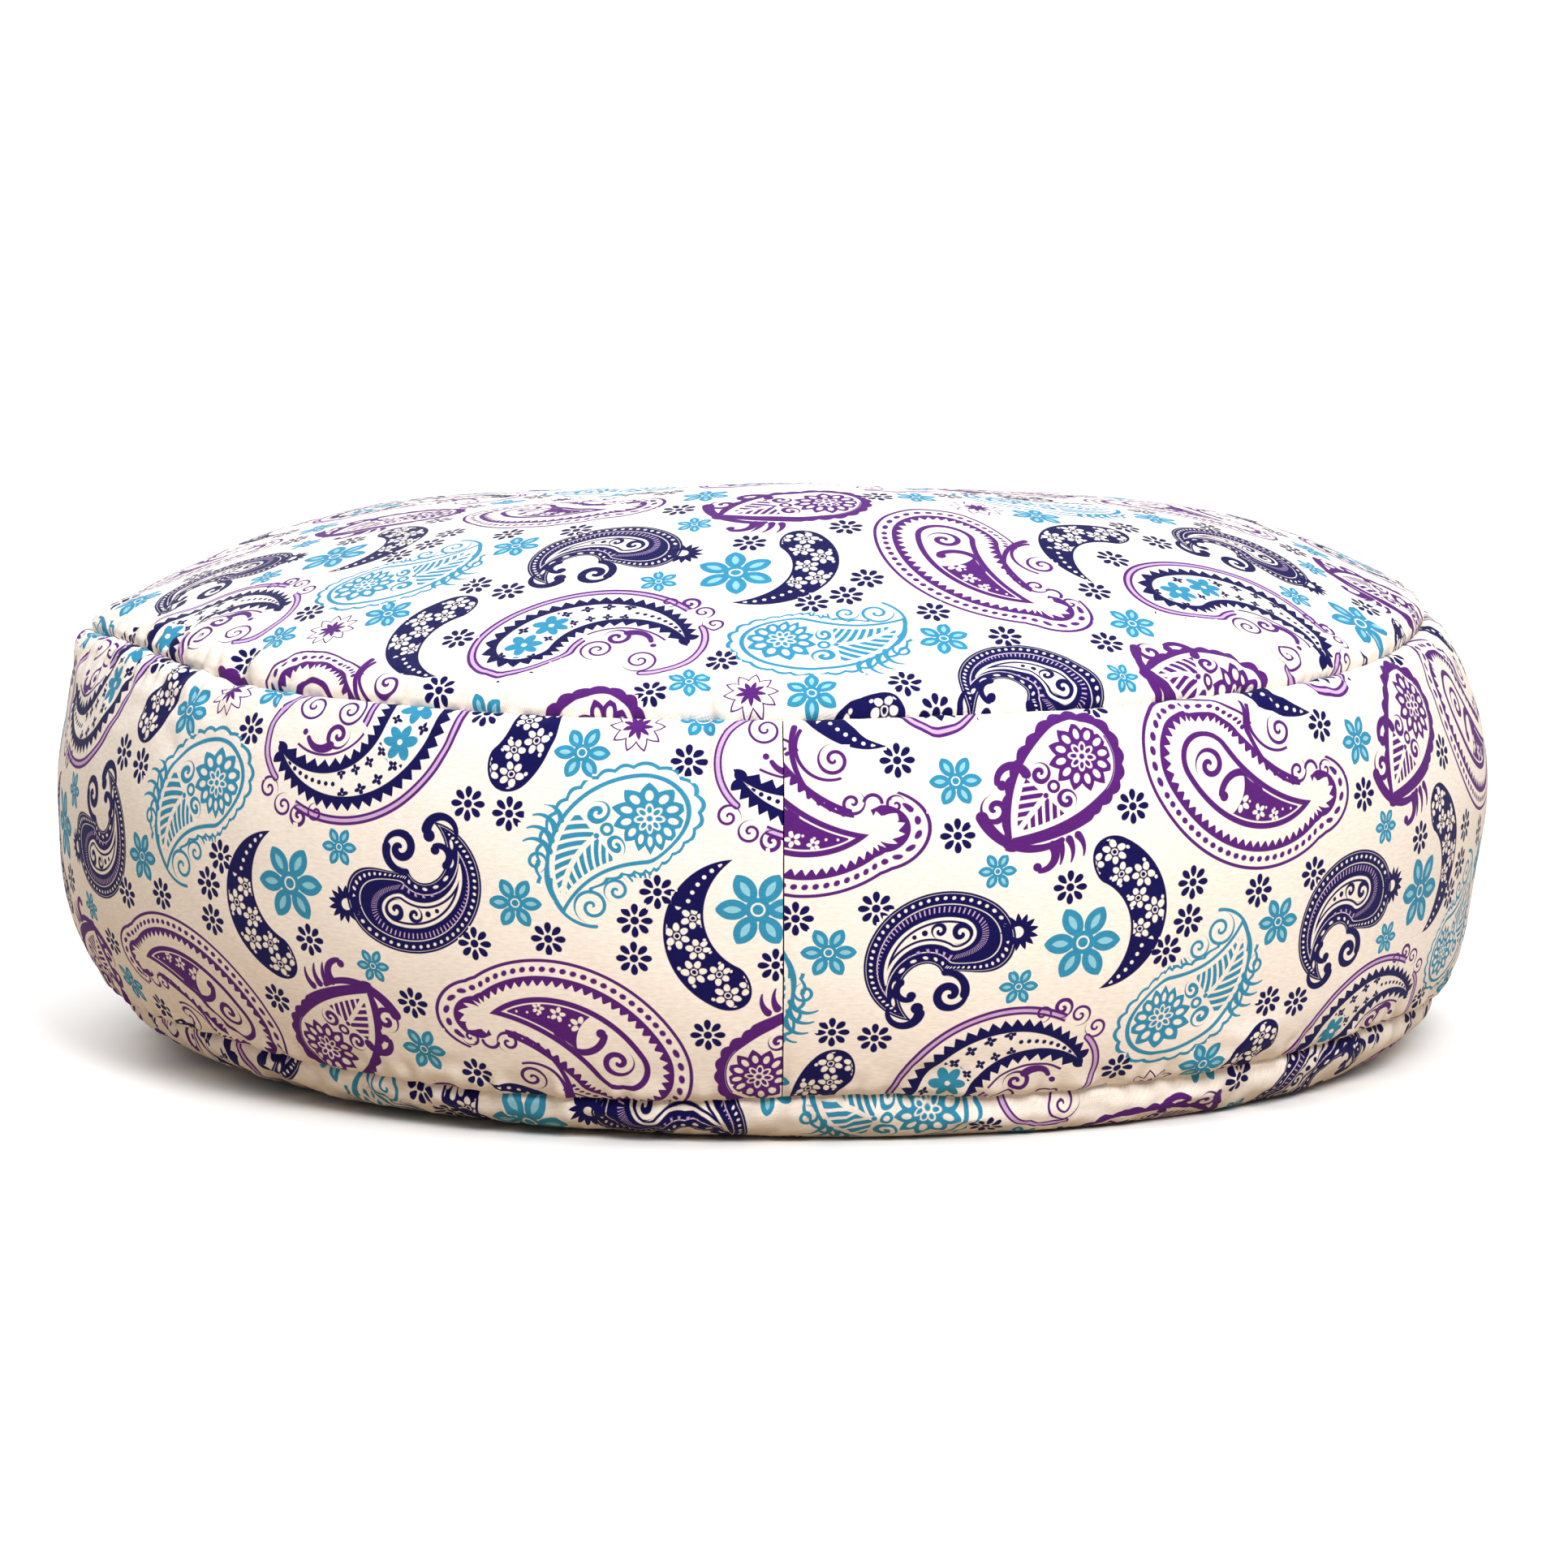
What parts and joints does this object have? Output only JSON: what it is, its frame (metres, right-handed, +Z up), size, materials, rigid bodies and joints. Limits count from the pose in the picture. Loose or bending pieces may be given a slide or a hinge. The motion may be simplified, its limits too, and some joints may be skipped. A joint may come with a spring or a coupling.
{
  "type": "round floor cushion",
  "caption": "Round filled floor cushion with a crowned top, a swelling side band and a flat base, in a printed cotton cover with sewn seams.",
  "frame": {"origin": "on the floor, under the middle of the cushion's box", "axes": "+Z up out of the crown, the front of the cushion faces -Y, +X to its right"},
  "size_m": [0.8058, 0.809, 0.3237],
  "materials": {
    "printed_cotton": "plain woven cotton, cream ground with a printed paisley in navy, purple and turquoise"
  },
  "bodies": {
    "root": {"cushion": "printed_cotton"}
  },
  "joints": []
}
